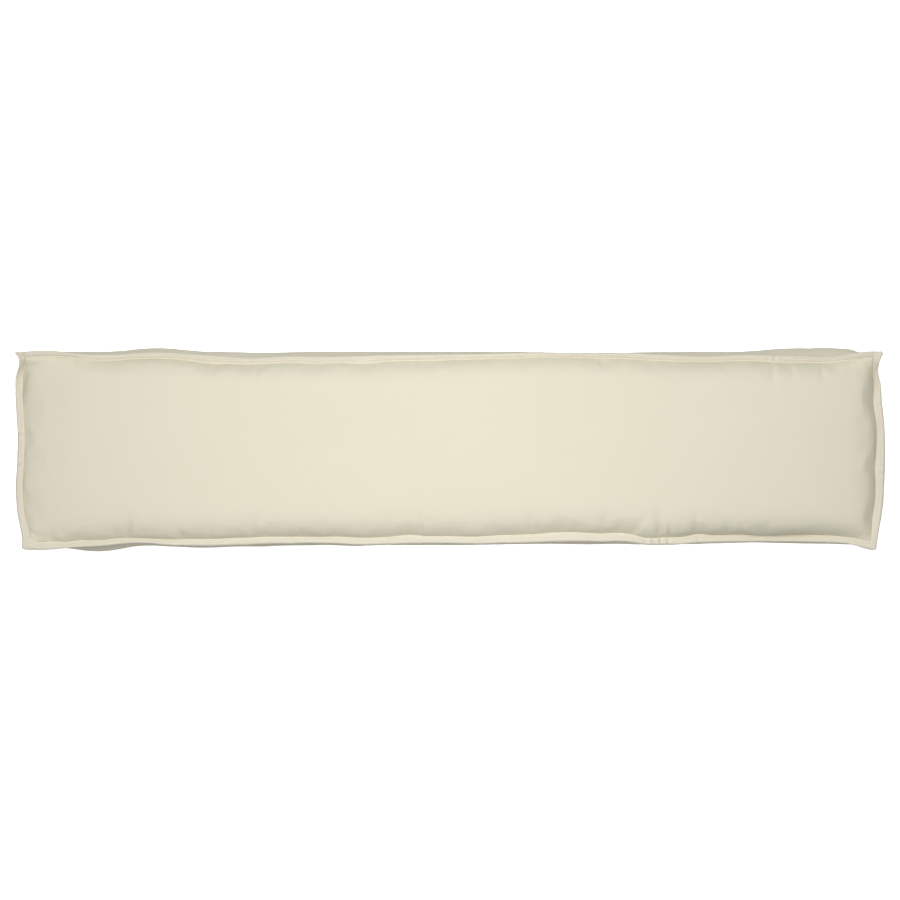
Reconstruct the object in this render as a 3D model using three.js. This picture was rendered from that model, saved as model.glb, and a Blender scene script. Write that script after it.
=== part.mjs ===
// A pallet back cushion, lying on its back: one filled body and the two sewn edges around its faces.
// Millimetres. +X runs along the cushion, +Y to its upper long side, +Z out of its front face.
import * as THREE from 'three';
import { mergeVertices } from 'three/addons/utils/BufferGeometryUtils.js';

// Driving dimensions
const FLANGE_SPAN = { x: 1194, y: 264 };    // across the outer edges of the sewn flange
const FLANGE_WIDTH = { x: 12, y: 10 };
const FLANGE_RISE = 1.2;                    // how far the outer edge stands above the seam
const THICKNESS = 120;                      // floor to the crown of the front face
const FRONT_SEAM = 95;                      // height of the seam around the front face
const BACK_SEAM = 17;                       // height of the seam around the back face
const BACK_CROWN = 22;                      // crown of the back face before the floor flattens it
const SEAM_WALL = 3.4;                      // height of the sewn strip that the flange leaves from
const SEAM_GAP = 0.3;                       // room between the body and its flange
const BELLY = { top: 135.3, bottom: 132.8, end: 599 };    // how far out the boxing bulges
const BELLY_ROUNDNESS = 0.8;                // 1 is a sine curve from seam to seam, less is fuller
const CORNER_BELLY = { share: 0.45, reach: 30 };          // how much of it is left at a corner

// Corners of the seam, seen from the front. The seam is lifted at them, which flattens the crown.
const CORNERS = {
  leftTop: { radius: 6, lift: 12, along: 110, across: 18 },
  rightTop: { radius: 5, lift: 12, along: 70, across: 22 },
  leftBottom: { radius: 16, lift: 4, along: 60, across: 50 },
  rightBottom: { radius: 5, lift: 2, along: 40, across: 30 },
};

// Section of the flange, four layers of cloth: share of its width from the seam to its folded outer
// edge, height of its middle above the seam, and half its thickness.
const FLANGE_SECTION = [
  { share: 0, middle: 0, half: 1 },
  { share: 0.33, middle: 1.1, half: 1.3 },
  { share: 0.78, middle: 2.1, half: 1.5 },
  { share: 1, middle: 0.7, half: 0.7 },
];

// How the crown climbs from each side's seam, in steep and slow parts: share of the whole height, and
// the distance in which that part slackens.
const FRONT_CLIMB = {
  top: [{ share: 0.04, reach: 3 }, { share: 0.88, reach: 18 }, { share: 0.08, reach: 55 }],
  bottom: [{ share: 0.09, reach: 3 }, { share: 0.83, reach: 17.5 }, { share: 0.08, reach: 55 }],
  left: [{ share: 0.22, reach: 8 }, { share: 0.78, reach: 75 }],
  right: [{ share: 0.1, reach: 3 }, { share: 0.6, reach: 12.6 }, { share: 0.3, reach: 50 }],
};
const BACK_SIDE_CLIMB = [{ share: 1, reach: 24 }];
const BACK_CLIMB = {
  top: BACK_SIDE_CLIMB, bottom: BACK_SIDE_CLIMB, left: BACK_SIDE_CLIMB, right: BACK_SIDE_CLIMB,
};

// Grid of the faces: insets from the seam, and how many even columns lie between them
const INSETS_ALONG = [0, 3, 7, 13, 22, 34];
const EVEN_COLUMNS = 96;
const INSETS_ACROSS = [0, 3, 7, 13, 21, 34, 62];
const BOXING_ROWS = 6;

// Waves of the outline. Each row is one wave: its middle, its half length and how far out it pushes.
// A reach longer than the side moves the whole side.
const FRONT_WAVES = {
  top: [
    { at: -604, reach: 26, out: 2.2 },
    { at: -556, reach: 62, out: 5.2 },
    { at: -402, reach: 70, out: 3.2 },
    { at: -330, reach: 60, out: -1 },
    { at: -275, reach: 70, out: -4.6 },
    { at: -185, reach: 90, out: -2.6 },
    { at: -120, reach: 80, out: -1 },
    { at: 130, reach: 170, out: 2.4 },
    { at: 245, reach: 40, out: 1.4 },
    { at: 345, reach: 60, out: -2.6 },
    { at: 455, reach: 50, out: -0.9 },
    { at: 490, reach: 60, out: -0.8 },
    { at: 515, reach: 50, out: -2.6 },
    { at: 582, reach: 50, out: 4 },
    { at: 0, reach: 3000, out: -1.3 },
  ],
  bottom: [
    { at: -575, reach: 110, out: 6.6 },
    { at: -490, reach: 45, out: 1 },
    { at: -427, reach: 55, out: -3.4 },
    { at: -400, reach: 110, out: 0.9 },
    { at: -330, reach: 45, out: 1.2 },
    { at: -250, reach: 40, out: -1 },
    { at: -215, reach: 70, out: -1.2 },
    { at: -182, reach: 55, out: -1.8 },
    { at: -150, reach: 35, out: -0.8 },
    { at: -65, reach: 70, out: -1 },
    { at: 30, reach: 150, out: -2.6 },
    { at: 35, reach: 45, out: 1.1 },
    { at: 165, reach: 90, out: -1.5 },
    { at: 190, reach: 150, out: -3.4 },
    { at: 237, reach: 35, out: -1.8 },
    { at: 275, reach: 28, out: 1.8 },
    { at: 310, reach: 40, out: 1 },
    { at: 440, reach: 200, out: -5.4 },
    { at: 440, reach: 120, out: 1 },
    { at: 604, reach: 56, out: 9 },
  ],
  left: [
    { at: -122, reach: 45, out: -7.6 },
    { at: -52, reach: 42, out: 2 },
    { at: 0, reach: 500, out: -0.9 },
    { at: 14, reach: 26, out: -1.3 },
    { at: 83, reach: 50, out: 2.8 },
    { at: 118, reach: 22, out: -5.2 },
    { at: 138, reach: 18, out: 7 },
  ],
  right: [
    { at: -140, reach: 78, out: -10.5 },
    { at: -8, reach: 90, out: 2.9 },
    { at: 100, reach: 75, out: -3 },
    { at: 110, reach: 26, out: -4.4 },
    { at: 137, reach: 15, out: 3.6 },
  ],
};
const BACK_WAVES = {
  top: [
    { at: -390, reach: 160, out: 3 },
    { at: 40, reach: 180, out: -2.5 },
    { at: 500, reach: 130, out: 4.5 },
  ],
  bottom: [
    { at: -490, reach: 120, out: 4 },
    { at: -120, reach: 200, out: -2 },
    { at: 330, reach: 210, out: -3.5 },
  ],
  left: [{ at: 20, reach: 70, out: -2 }],
  right: [{ at: -30, reach: 80, out: -2 }],
};
const BELLY_WAVES = {
  top: [
    { at: -405, reach: 78, out: 5 },
    { at: -260, reach: 70, out: -1.2 },
    { at: 200, reach: 130, out: -1.6 },
    { at: 448, reach: 60, out: 1.8 },
    { at: 512, reach: 105, out: 5.2 },
  ],
  bottom: [
    { at: -492, reach: 85, out: 7.6 },
    { at: -480, reach: 50, out: 1.2 },
    { at: -350, reach: 90, out: 2.6 },
    { at: -290, reach: 150, out: 1.4 },
    { at: -262, reach: 35, out: 0.8 },
    { at: -130, reach: 45, out: 1.2 },
    { at: 130, reach: 130, out: -1.6 },
    { at: 235, reach: 50, out: -1.4 },
    { at: 440, reach: 170, out: -3.4 },
  ],
  left: [],
  right: [{ at: 104, reach: 36, out: -3.4 }],
};
const WAVE_DEPTH = 75;                      // how far into the face a wave of the outline is felt

// Where the front seam runs nearer to the flange's outer edge, or further in
const SEAM_SHIFTS = {
  top: [
    { at: -516, reach: 45, out: 2.2 },
    { at: -440, reach: 50, out: 0.8 },
    { at: -337, reach: 30, out: -1.4 },
    { at: -322, reach: 25, out: -1.2 },
    { at: -190, reach: 40, out: -1 },
    { at: -117, reach: 45, out: -2.4 },
    { at: 30, reach: 80, out: 1 },
    { at: 160, reach: 150, out: 2.1 },
    { at: 345, reach: 45, out: 1.2 },
    { at: 460, reach: 50, out: -1.2 },
    { at: 562, reach: 25, out: -1.2 },
    { at: 0, reach: 3000, out: 1 },
  ],
  bottom: [
    { at: -550, reach: 30, out: -1.6 },
    { at: -534, reach: 25, out: 1.6 },
    { at: -457, reach: 30, out: -1.4 },
    { at: -434, reach: 110, out: 3.3 },
    { at: -187, reach: 40, out: 1.2 },
    { at: -58, reach: 32, out: -2.2 },
    { at: 75, reach: 60, out: -1.2 },
    { at: 172, reach: 115, out: -3.4 },
    { at: 195, reach: 30, out: 1.2 },
    { at: 241, reach: 30, out: -0.8 },
    { at: 342, reach: 22, out: -3 },
    { at: 445, reach: 60, out: 1.6 },
    { at: 551, reach: 22, out: 1.4 },
  ],
  left: [
    { at: 0, reach: 500, out: 2.6 },
    { at: 117, reach: 22, out: 4.8 },
  ],
  right: [
    { at: -116, reach: 30, out: 4 },
    { at: -24, reach: 30, out: -2 },
    { at: 30, reach: 30, out: 1.2 },
    { at: 106, reach: 42, out: 5.2 },
  ],
};

// Where the front seam sinks under a fuller crown
const SEAM_DIPS = {
  top: [
    { at: -320, reach: 180, rise: -3 },
    { at: 400, reach: 150, rise: -3 },
  ],
  bottom: [
    { at: -180, reach: 150, rise: -3 },
    { at: 420, reach: 180, rise: -14 },
    { at: 490, reach: 90, rise: -9 },
  ],
  left: [{ at: 92, reach: 45, rise: -7 }],
  right: [{ at: 85, reach: 50, rise: -5 }],
};
const DIP_FADE = 10;                        // how fast it is lost inward, behind the seam

// Waves of the front flange up and down, seen from its side
const FLANGE_LIFTS = {
  top: [
    { at: -470, reach: 60, rise: -1.8 },
    { at: -330, reach: 70, rise: 2 },
    { at: -120, reach: 90, rise: -1.5 },
    { at: 230, reach: 90, rise: 2 },
    { at: 400, reach: 60, rise: -2 },
  ],
  bottom: [
    { at: -500, reach: 70, rise: 2.2 },
    { at: -300, reach: 80, rise: -1.4 },
    { at: 275, reach: 32, rise: -2.6 },
    { at: 480, reach: 90, rise: 1.8 },
  ],
  left: [
    { at: -40, reach: 75, rise: -2 },
    { at: 45, reach: 40, rise: 2 },
    { at: 110, reach: 34, rise: 8 },
  ],
  right: [
    { at: -40, reach: 60, rise: -2 },
    { at: 95, reach: 30, rise: 3 },
  ],
};

// Puckers that run from the seam into the face. Each row is one trough.
const PUCKER_START = 0.2;                   // share of its length over which a trough sinks to full depth
const PUCKERS = {
  top: [
    { at: -262, length: 34, width: 16, depth: 1.4 },
    { at: -152, length: 30, width: 15, depth: 1.1 },
    { at: -16, length: 48, width: 14, depth: 2.2 },
    { at: 305, length: 36, width: 17, depth: 1.4 },
    { at: 444, length: 48, width: 15, depth: 2.4 },
    { at: 511, length: 36, width: 15, depth: 1.7 },
  ],
  bottom: [
    { at: -446, length: 52, width: 15, depth: 2.9 },
    { at: -372, length: 30, width: 15, depth: 1.1 },
    { at: -272, length: 46, width: 14, depth: 2.1 },
    { at: -120, length: 40, width: 15, depth: 1.7 },
    { at: -40, length: 52, width: 14, depth: 2.2 },
    { at: 110, length: 50, width: 14, depth: 2.4 },
    { at: 210, length: 40, width: 18, depth: 1.7 },
    { at: 290, length: 50, width: 16, depth: 4.2 },
    { at: 338, length: 40, width: 15, depth: 2.1 },
  ],
  left: [
    { at: 98, length: 22, width: 13, depth: 1.5 },
    { at: 20, length: 24, width: 13, depth: 1.5 },
    { at: -78, length: 24, width: 13, depth: 1.5 },
  ],
  right: [{ at: -62, length: 28, width: 14, depth: 1.4 }],
};

const FLANGE_HALF = { x: FLANGE_SPAN.x / 2, y: FLANGE_SPAN.y / 2 };
const SEAM_HALF = { x: FLANGE_HALF.x - FLANGE_WIDTH.x, y: FLANGE_HALF.y - FLANGE_WIDTH.y };

const clamp01 = (value) => Math.min(Math.max(value, 0), 1);
const mix = (from, to, share) => from + (to - from) * share;

// A smooth hump: 1 in its middle, 0 from its reach outward
function hump(distance, reach) {
  const share = Math.min(Math.abs(distance) / reach, 1);
  return (1 + Math.cos(Math.PI * share)) / 2;
}

function sumWaves(rows, position, column) {
  return rows.reduce((sum, row) => sum + row[column] * hump(position - row.at, row.reach), 0);
}

// A sharp fade: 1 at the seam, lost a little way behind it
function sunkIn(distance, reach) {
  return 1 - Math.tanh(distance / reach);
}

// The value of a table of waves at any plan point, each side fading inward from its own edge
function fromSides(waves, column, x, y, fadeLength, shape = hump) {
  const fade = (inset) => shape(Math.max(inset, 0), fadeLength);
  return {
    top: sumWaves(waves.top, x, column) * fade(SEAM_HALF.y - y),
    bottom: sumWaves(waves.bottom, x, column) * fade(SEAM_HALF.y + y),
    left: sumWaves(waves.left, y, column) * fade(SEAM_HALF.x + x),
    right: sumWaves(waves.right, y, column) * fade(SEAM_HALF.x - x),
  };
}

// Moves a plan point with the waves of an outline
function drawn(waves, point) {
  const push = fromSides(waves, 'out', point.x, point.y, WAVE_DEPTH);
  return { x: point.x + push.right - push.left, y: point.y + push.top - push.bottom };
}

function nearestCorner(point) {
  if (point.x < 0) return point.y < 0 ? CORNERS.leftBottom : CORNERS.leftTop;
  return point.y < 0 ? CORNERS.rightBottom : CORNERS.rightTop;
}

// Rounds the corners of the seam: a point of the square face goes to its place on the rounded one
function rounded(point) {
  const cornerRadius = nearestCorner(point).radius;
  const insetX = SEAM_HALF.x - Math.abs(point.x);
  const insetY = SEAM_HALF.y - Math.abs(point.y);
  if (insetX >= cornerRadius || insetY >= cornerRadius) return point;
  const ring = Math.min(insetX, insetY);
  const radius = cornerRadius - ring;
  const alongRing = Math.max(insetX, insetY) - ring;
  const turn = (Math.PI / 4) * (1 - alongRing / radius);
  const near = cornerRadius - radius * Math.cos(turn);
  const far = cornerRadius - radius * Math.sin(turn);
  const newX = insetX <= insetY ? near : far;
  const newY = insetX <= insetY ? far : near;
  return {
    x: Math.sign(point.x) * (SEAM_HALF.x - newX),
    y: Math.sign(point.y) * (SEAM_HALF.y - newY),
  };
}

// Plan place of a point of the front face, with the waves of its outline and of its seam
function frontPlan(point) {
  const waved = drawn(FRONT_WAVES, rounded(point));
  const shifted = drawn(SEAM_SHIFTS, point);
  return { x: waved.x + shifted.x - point.x, y: waved.y + shifted.y - point.y };
}

function backPlan(point) {
  return drawn(BACK_WAVES, rounded(point));
}

// Pushes a point of the seam out to the flange's edge, square to its side, with a mitre at the corner
function pushedOut(point) {
  const { radius } = nearestCorner(point);
  const share = (half, value) => clamp01(1 - (half - Math.abs(value)) / radius);
  return {
    x: point.x + Math.sign(point.x) * FLANGE_WIDTH.x * share(SEAM_HALF.x, point.x),
    y: point.y + Math.sign(point.y) * FLANGE_WIDTH.y * share(SEAM_HALF.y, point.y),
  };
}

const total = (sides) => sides.top + sides.bottom + sides.left + sides.right;

// Height of the front seam: it dips along the sides and lifts at the corners
function frontSeamHeight(point) {
  const corner = nearestCorner(point);
  const along = hump(SEAM_HALF.x - Math.abs(point.x), corner.along);
  const across = hump(SEAM_HALF.y - Math.abs(point.y), corner.across);
  const dips = total(fromSides(SEAM_DIPS, 'rise', point.x, point.y, DIP_FADE, sunkIn));
  return FRONT_SEAM + dips + corner.lift * along * across;
}

// Share of the full crown at a plan point, from 0 at the seam to nearly 1 in the middle
function crownShare(climbs, point) {
  const climb = (parts, inset) => parts.reduce(
    (sum, part) => sum + part.share * Math.tanh(inset / part.reach),
    0,
  );
  const across = climb(point.y < 0 ? climbs.bottom : climbs.top, SEAM_HALF.y - Math.abs(point.y));
  const along = climb(point.x < 0 ? climbs.left : climbs.right, SEAM_HALF.x - Math.abs(point.x));
  return across * along;
}

// Depth of the puckers at a plan point of the front face
function puckerDepth(point) {
  const trough = (row, along, inset) => {
    const start = clamp01(inset / (row.length * PUCKER_START));
    return row.depth * hump(along - row.at, row.width) * start * hump(inset, row.length);
  };
  const side = (rows, along, inset) => rows.reduce((sum, row) => sum + trough(row, along, inset), 0);
  return side(PUCKERS.top, point.x, SEAM_HALF.y - point.y)
    + side(PUCKERS.bottom, point.x, SEAM_HALF.y + point.y)
    + side(PUCKERS.left, point.y, SEAM_HALF.x + point.x)
    + side(PUCKERS.right, point.y, SEAM_HALF.x - point.x);
}

function frontFacePoint(point) {
  const plan = frontPlan(point);
  const edge = frontSeamHeight(point) + SEAM_WALL / 2;
  const crown = mix(edge, THICKNESS, crownShare(FRONT_CLIMB, point));
  return new THREE.Vector3(plan.x, plan.y, crown - puckerDepth(point));
}

// The back face sinks to the floor, which flattens it
function backFacePoint(point) {
  const plan = backPlan(point);
  const edge = BACK_SEAM - SEAM_WALL / 2;
  const height = edge - BACK_CROWN * crownShare(BACK_CLIMB, point);
  return new THREE.Vector3(plan.x, plan.y, Math.max(height, 0));
}

// Grid lines across half a face, mirrored to the other half, with even steps between the insets
function gridLines(half, insets, evenSteps) {
  const edges = insets.map((inset) => half - inset);
  const inner = edges[edges.length - 1];
  const steps = Array.from({ length: evenSteps - 1 }, (_, i) => mix(-inner, inner, (i + 1) / evenSteps));
  return [...edges.map((value) => -value), ...steps, ...edges.reverse()];
}

const COLUMNS = gridLines(SEAM_HALF.x, INSETS_ALONG, EVEN_COLUMNS);
const ROWS = gridLines(SEAM_HALF.y, INSETS_ACROSS, 2);

// The grid points around the seam, counter-clockwise seen from the front
function seamStations() {
  const { x: endX, y: endY } = SEAM_HALF;
  return [
    ...COLUMNS.slice(0, -1).map((x) => ({ x, y: -endY })),
    ...ROWS.slice(0, -1).map((y) => ({ x: endX, y })),
    ...COLUMNS.slice(1).reverse().map((x) => ({ x, y: endY })),
    ...ROWS.slice(1).reverse().map((y) => ({ x: -endX, y })),
  ];
}
const STATIONS = seamStations();

// Collects four-sided faces, seen counter-clockwise from outside
class Skin {
  constructor() {
    this.coordinates = [];
  }

  face(a, b, c, d) {
    for (const corner of [a, b, c, a, c, d]) this.coordinates.push(corner.x, corner.y, corner.z);
  }

  grid(pointAt, facingUp) {
    for (let i = 0; i < COLUMNS.length - 1; i += 1) {
      for (let j = 0; j < ROWS.length - 1; j += 1) {
        const [x0, x1, y0, y1] = [COLUMNS[i], COLUMNS[i + 1], ROWS[j], ROWS[j + 1]];
        const [a, b] = [pointAt({ x: x0, y: y0 }), pointAt({ x: x1, y: y0 })];
        const [c, d] = [pointAt({ x: x1, y: y1 }), pointAt({ x: x0, y: y1 })];
        if (facingUp) this.face(a, b, c, d);
        else this.face(d, c, b, a);
      }
    }
  }

  // Joins two closed loops of points: the second is further up the outside
  band(first, second) {
    first.forEach((point, i) => {
      const next = (i + 1) % first.length;
      this.face(point, first[next], second[next], second[i]);
    });
  }

  geometry() {
    const soup = new THREE.BufferGeometry();
    soup.setAttribute('position', new THREE.Float32BufferAttribute(this.coordinates, 3));
    const merged = mergeVertices(soup, 1e-3);
    merged.computeVertexNormals();
    return merged;
  }
}

// How far the boxing stands beyond the seams, halfway up
function bellyPoint(station) {
  const waves = fromSides(BELLY_WAVES, 'out', station.x, station.y, WAVE_DEPTH);
  const soft = (half, value) => {
    const fromCorner = clamp01((half - Math.abs(value)) / CORNER_BELLY.reach);
    return mix(CORNER_BELLY.share, 1, fromCorner);
  };
  const onLongSide = Math.abs(station.y) === SEAM_HALF.y;
  const onEnd = Math.abs(station.x) === SEAM_HALF.x;
  const plan = rounded(station);
  const reachY = station.y > 0 ? BELLY.top + waves.top : BELLY.bottom + waves.bottom;
  const bulgeY = (reachY - SEAM_HALF.y) * soft(SEAM_HALF.x, station.x);
  const reachX = BELLY.end + (station.x > 0 ? waves.right : waves.left);
  const bulgeX = (reachX - SEAM_HALF.x) * soft(SEAM_HALF.y, station.y);
  return {
    x: plan.x + (onEnd ? Math.sign(station.x) * bulgeX : 0),
    y: plan.y + (onLongSide ? Math.sign(station.y) * bulgeY : 0),
  };
}

// One loop of the boxing, from the back seam (share 0) to the front seam (share 1)
function boxingLoop(share) {
  return STATIONS.map((station) => {
    const back = backPlan(station);
    const front = frontPlan(station);
    const belly = bellyPoint(station);
    const fullness = Math.sin(Math.PI * share) ** BELLY_ROUNDNESS;
    const bottomHeight = BACK_SEAM + SEAM_WALL / 2;
    const topHeight = frontSeamHeight(station) - SEAM_WALL / 2;
    return new THREE.Vector3(
      mix(mix(back.x, front.x, share), belly.x, fullness),
      mix(mix(back.y, front.y, share), belly.y, fullness),
      mix(bottomHeight, topHeight, share),
    );
  });
}

function buildCushion() {
  const skin = new Skin();
  skin.grid(frontFacePoint, true);
  skin.grid(backFacePoint, false);
  const loops = [STATIONS.map(backFacePoint)];
  for (let row = 0; row <= BOXING_ROWS; row += 1) loops.push(boxingLoop(row / BOXING_ROWS));
  loops.push(STATIONS.map(frontFacePoint));
  loops.slice(1).forEach((loop, i) => skin.band(loops[i], loop));
  return skin.geometry();
}

// A flange around one seam, a closed ring of section loops. It rises towards its outer edge, or it
// falls where the facing is -1.
function buildFlange({ seamPlan, waves, seamHeight, riseAt, facing }) {
  const upper = FLANGE_SECTION.map(({ share, middle, half }) => ({ share, above: facing * middle + half }));
  const lower = FLANGE_SECTION.map(({ share, middle, half }) => ({ share, above: facing * middle - half }));
  const loopAt = ({ share, above }) => STATIONS.map((station) => {
    const inner = seamPlan(station);
    const outer = drawn(waves, pushedOut(station));
    const width = Math.hypot(outer.x - inner.x, outer.y - inner.y);
    const place = Math.max(share, SEAM_GAP / width);
    const height = seamHeight(station) + above + facing * riseAt(station) * share * share;
    return new THREE.Vector3(mix(inner.x, outer.x, place), mix(inner.y, outer.y, place), height);
  });
  const loops = [...lower, ...upper.reverse()].map(loopAt);
  const skin = new Skin();
  loops.forEach((loop, i) => skin.band(loop, loops[(i + 1) % loops.length]));
  return skin.geometry();
}

// The front flange's waves up and down. At a corner both sides' waves are felt.
function frontFlangeRise(station) {
  return FLANGE_RISE + total(fromSides(FLANGE_LIFTS, 'rise', station.x, station.y, FLANGE_WIDTH.x));
}

function cloth(colour) {
  return new THREE.MeshStandardMaterial({ color: colour, roughness: 0.9, metalness: 0 });
}

function named(name, geometry, material) {
  const mesh = new THREE.Mesh(geometry, material);
  mesh.name = name;
  return mesh;
}

const cushion = new THREE.Group();
cushion.add(named('cushion', buildCushion(), cloth('#ece7d4')));
cushion.add(named(
  'front_flange',
  buildFlange({
    seamPlan: frontPlan,
    waves: FRONT_WAVES,
    seamHeight: frontSeamHeight,
    riseAt: frontFlangeRise,
    facing: 1,
  }),
  cloth('#eae3cf'),
));
cushion.add(named(
  'back_flange',
  buildFlange({
    seamPlan: backPlan,
    waves: BACK_WAVES,
    seamHeight: () => BACK_SEAM,
    riseAt: () => FLANGE_RISE,
    facing: -1,
  }),
  cloth('#e9e2ce'),
));

export default cushion;
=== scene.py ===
# A pallet back cushion in plain cream cloth, lying on its back on a pale floor. Sizes are in metres.
import math

import bpy
import numpy as np
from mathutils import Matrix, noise


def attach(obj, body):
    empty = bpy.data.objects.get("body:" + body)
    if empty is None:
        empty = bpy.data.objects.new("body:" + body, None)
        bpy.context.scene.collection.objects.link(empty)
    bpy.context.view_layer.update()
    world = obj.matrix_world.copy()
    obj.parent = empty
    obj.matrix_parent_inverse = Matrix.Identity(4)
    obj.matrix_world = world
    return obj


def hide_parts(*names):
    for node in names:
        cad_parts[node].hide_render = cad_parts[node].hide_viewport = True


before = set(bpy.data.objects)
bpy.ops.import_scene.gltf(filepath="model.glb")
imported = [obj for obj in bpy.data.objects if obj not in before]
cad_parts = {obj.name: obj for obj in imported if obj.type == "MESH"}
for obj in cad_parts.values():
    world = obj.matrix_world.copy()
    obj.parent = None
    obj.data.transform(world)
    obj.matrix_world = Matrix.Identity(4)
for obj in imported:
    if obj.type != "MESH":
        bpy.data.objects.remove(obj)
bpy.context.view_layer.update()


# The view: straight down on the cushion's front face, from so far off that it is nearly square on.
# The long side lies across the frame, and the lens fits the face into it.
FRAME_SPAN = 1.2395
VIEW_DISTANCE = 6.0
VIEW_CENTRE = (0.0002, -0.0010)
FACE_HEIGHT = 0.098


def placed(name, data):
    """A new object in the scene, at its origin."""
    thing = bpy.data.objects.new(name, data)
    bpy.context.scene.collection.objects.link(thing)
    return thing


camera_data = bpy.data.cameras.new("camera")
camera_data.lens = camera_data.sensor_width * VIEW_DISTANCE / FRAME_SPAN
camera = placed("camera", camera_data)
camera.location = (*VIEW_CENTRE, FACE_HEIGHT + VIEW_DISTANCE)
bpy.context.scene.camera = camera


# The filled body: a front panel, a back panel and a boxing strip, cut from one cream cloth and sewn
# edge to edge round loose fibre. The filling crowns the panels and swells the boxing, and the seams
# hold low between them and gather the cloth into small puckers.
SEAM_HALF = (0.585, 0.122)
THICKNESS = 0.120
FRONT_SEAM = 0.095
BACK_SEAM = 0.017
BACK_CROWN = 0.022
SEAM_WALL = 0.0024

# The panel's corners, in the columns below. The seam is lifted at them by up to the lift, which
# flattens the crown there.
CORNER_COLUMNS = ("radius", "lift", "reach along", "reach across")
CORNERS = {
    ("left", "top"): (0.006, 0.012, 0.110, 0.018),
    ("right", "top"): (0.005, 0.012, 0.070, 0.022),
    ("left", "bottom"): (0.016, 0.004, 0.060, 0.050),
    ("right", "bottom"): (0.005, 0.002, 0.040, 0.030),
}

# Stands in for a radius of nothing, which can't be divided by.
LEAST_RADIUS = 1e-9

# How far out the boxing bulges on the long sides and at the ends, how bluntly, and what share of it
# is left at the corners.
BELLY = {"top": 0.1353, "bottom": 0.1328, "end": 0.599}
BELLY_ROUNDNESS = 0.8
CORNER_BELLY = 0.45
CORNER_BELLY_REACH = 0.030

# The grid that the cover is made on: rows up the boxing, the step beside a seam, the widest steps
# along and across a panel, and how fast the steps grow.
BOXING_ROWS = 12
FINE_STEP = 0.0024
STEP_ALONG = 0.0043
STEP_ACROSS = 0.0120
STEP_GROWTH = 1.25

# How a crown climbs from each seam, in steep and slow parts: share of the height, and the distance
# in which that part slackens.
FRONT_CLIMB = {
    "top": [(0.04, 0.003), (0.88, 0.0180), (0.08, 0.055)],
    "bottom": [(0.09, 0.003), (0.83, 0.0175), (0.08, 0.055)],
    "left": [(0.22, 0.008), (0.78, 0.075)],
    "right": [(0.10, 0.003), (0.60, 0.0126), (0.30, 0.050)],
}
BACK_CLIMB = {side: [(1.00, 0.024)] for side in FRONT_CLIMB}

# Where the front seam sinks under a fuller crown, or rises: at, reach, rise.
SEAM_DIPS = {
    "top": [
        (-0.320, 0.180, -0.003),
        (0.400, 0.150, -0.003),
    ],
    "bottom": [
        (-0.180, 0.150, -0.003),
        (0.420, 0.180, -0.014),
        (0.490, 0.090, -0.009),
    ],
    "left": [(0.092, 0.045, -0.007)],
    "right": [(0.085, 0.050, -0.005)],
}
DIP_REACH = 0.010

# Waves of the sewn outline on each side of the front face, of the back face and of the boxing's
# belly: at, reach, out. A wave whose reach is longer than its side moves the whole side. The waves
# die out inward within the depth that follows.
FRONT_WAVES = {
    "top": [
        (-0.604, 0.026, 0.0022),
        (-0.556, 0.062, 0.0052),
        (-0.402, 0.070, 0.0032),
        (-0.330, 0.060, -0.0010),
        (-0.275, 0.070, -0.0046),
        (-0.185, 0.090, -0.0026),
        (-0.120, 0.080, -0.0010),
        (0.130, 0.170, 0.0024),
        (0.245, 0.040, 0.0014),
        (0.345, 0.060, -0.0026),
        (0.455, 0.050, -0.0009),
        (0.490, 0.060, -0.0008),
        (0.515, 0.050, -0.0026),
        (0.582, 0.050, 0.0040),
        (0.000, 3.000, -0.0013),
    ],
    "bottom": [
        (-0.575, 0.110, 0.0066),
        (-0.490, 0.045, 0.0010),
        (-0.427, 0.055, -0.0034),
        (-0.400, 0.110, 0.0009),
        (-0.330, 0.045, 0.0012),
        (-0.250, 0.040, -0.0010),
        (-0.215, 0.070, -0.0012),
        (-0.182, 0.055, -0.0018),
        (-0.150, 0.035, -0.0008),
        (-0.065, 0.070, -0.0010),
        (0.030, 0.150, -0.0026),
        (0.035, 0.045, 0.0011),
        (0.165, 0.090, -0.0015),
        (0.190, 0.150, -0.0034),
        (0.237, 0.035, -0.0018),
        (0.275, 0.028, 0.0018),
        (0.310, 0.040, 0.0010),
        (0.440, 0.200, -0.0054),
        (0.440, 0.120, 0.0010),
        (0.604, 0.056, 0.0090),
    ],
    "left": [
        (-0.122, 0.045, -0.0076),
        (-0.052, 0.042, 0.0020),
        (0.000, 0.500, -0.0009),
        (0.014, 0.026, -0.0013),
        (0.083, 0.050, 0.0028),
        (0.118, 0.022, -0.0052),
        (0.138, 0.018, 0.0070),
    ],
    "right": [
        (-0.140, 0.078, -0.0105),
        (-0.008, 0.090, 0.0029),
        (0.100, 0.075, -0.0030),
        (0.110, 0.026, -0.0044),
        (0.137, 0.015, 0.0036),
    ],
}
BACK_WAVES = {
    "top": [(-0.390, 0.160, 0.0030), (0.040, 0.180, -0.0025), (0.500, 0.130, 0.0045)],
    "bottom": [(-0.490, 0.120, 0.0040), (-0.120, 0.200, -0.0020), (0.330, 0.210, -0.0035)],
    "left": [(0.020, 0.070, -0.0020)],
    "right": [(-0.030, 0.080, -0.0020)],
}
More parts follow.
